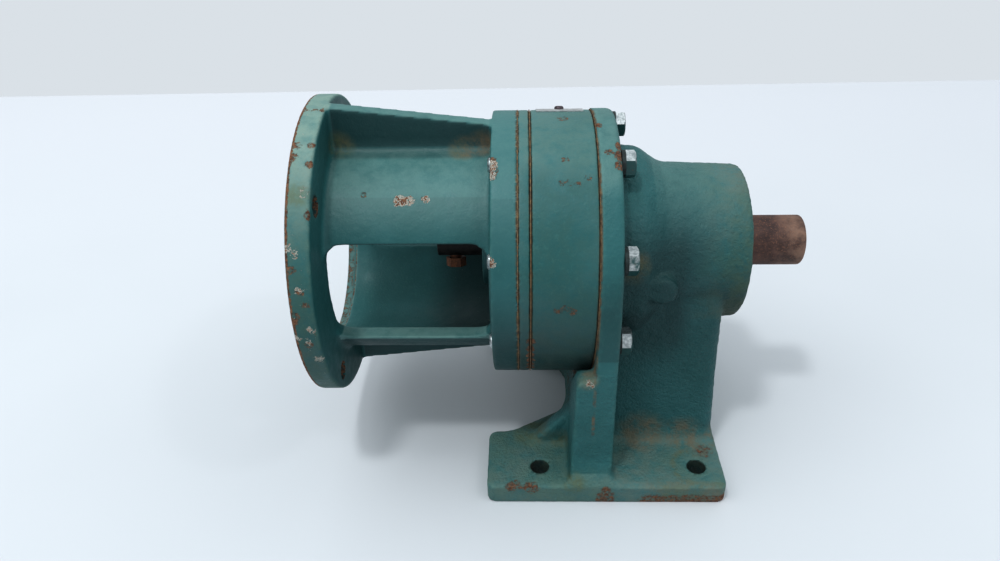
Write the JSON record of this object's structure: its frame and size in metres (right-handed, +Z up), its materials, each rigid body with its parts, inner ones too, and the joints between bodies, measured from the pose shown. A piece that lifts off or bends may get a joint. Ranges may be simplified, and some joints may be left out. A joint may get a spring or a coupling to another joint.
{
  "type": "inline gear reducer",
  "caption": "Foot-mounted inline cycloidal gear reducer with a windowed C-face motor adapter and a solid output shaft.",
  "frame": {"origin": "centre of the four foot bolt holes, on the underside of the feet", "axes": "+X along the shafts towards the output end, +Z up"},
  "size_m": [0.2738, 0.18, 0.2046],
  "materials": {
    "green_paint": "teal-green machinery enamel over cast iron, chipped to rust at edges",
    "zinc_plate": "dull zinc plate, partly overpainted",
    "gasket": "ochre joint compound, stained with rust",
    "plate_aluminium": "blank satin plate",
    "bearing_steel": "ground and oiled",
    "seal_rubber": "black nitrile",
    "spring_steel": "oiled",
    "rusty_steel": "turned steel under brown rust",
    "black_steel": "black oxide",
    "key_steel": "plain key bar",
    "rusty_screw": "rusted",
    "cage_brass": "machined"
  },
  "bodies": {
    "housing": {"casing": "green_paint", "ring_gear_housing": "green_paint", "end_shield": "green_paint", "motor_adapter": "green_paint", "joint_bolts": "zinc_plate", "spring_washers": "zinc_plate", "ring_housing_gaskets": "gasket", "adapter_gasket": "gasket", "nameplate": "plate_aluminium", "nameplate_screws": "zinc_plate", "ring_gear_pins": "bearing_steel", "output_seal": "seal_rubber", "input_seal": "seal_rubber", "rear_output_bearing_outer": "bearing_steel", "front_output_bearing_outer": "bearing_steel", "input_bearing_outer": "bearing_steel", "input_bearing_ring": "spring_steel"},
    "output": {"output_shaft": "rusty_steel", "drive_pins": "bearing_steel", "drive_pin_rollers": "bearing_steel", "rear_output_bearing_inner": "bearing_steel", "rear_output_bearing_balls": "bearing_steel", "front_output_bearing_inner": "bearing_steel", "front_output_bearing_balls": "bearing_steel", "bearing_spacer": "spring_steel", "pilot_bearing_outer": "bearing_steel"},
    "input": {"input_shaft": "black_steel", "input_key": "key_steel", "clamp_screw": "rusty_screw", "double_eccentric": "bearing_steel", "eccentric_key": "key_steel", "eccentric_rollers": "bearing_steel", "eccentric_cages": "cage_brass", "input_bearing_inner": "bearing_steel", "input_bearing_balls": "bearing_steel", "pilot_bearing_inner": "bearing_steel", "pilot_bearing_balls": "bearing_steel", "disc_thrust_washer": "spring_steel"},
    "disc_a": {"cycloid_disc_a": "bearing_steel"},
    "disc_b": {"cycloid_disc_b": "bearing_steel"}
  },
  "joints": [
    {"name": "output_spin", "type": "hinge", "parent": "housing", "child": "output", "pos_m": [0.05, 0, 0.12], "axis": [1, 0, 0], "continuous": true},
    {"name": "input_spin", "type": "hinge", "parent": "housing", "child": "input", "pos_m": [-0.06, 0, 0.12], "axis": [1, 0, 0], "continuous": true},
    {"name": "disc_a_roll", "type": "hinge", "parent": "input", "child": "disc_a", "pos_m": [-0.038, -0.0016, 0.12], "axis": [1, 0, 0], "continuous": true},
    {"name": "disc_b_roll", "type": "hinge", "parent": "input", "child": "disc_b", "pos_m": [-0.025, 0.0016, 0.12], "axis": [1, 0, 0], "continuous": true}
  ],
  "couplings": [
    {"joint": "input_spin", "follows": "output_spin", "ratio": -17},
    {"joint": "disc_a_roll", "follows": "output_spin", "ratio": 18},
    {"joint": "disc_b_roll", "follows": "output_spin", "ratio": 18}
  ]
}
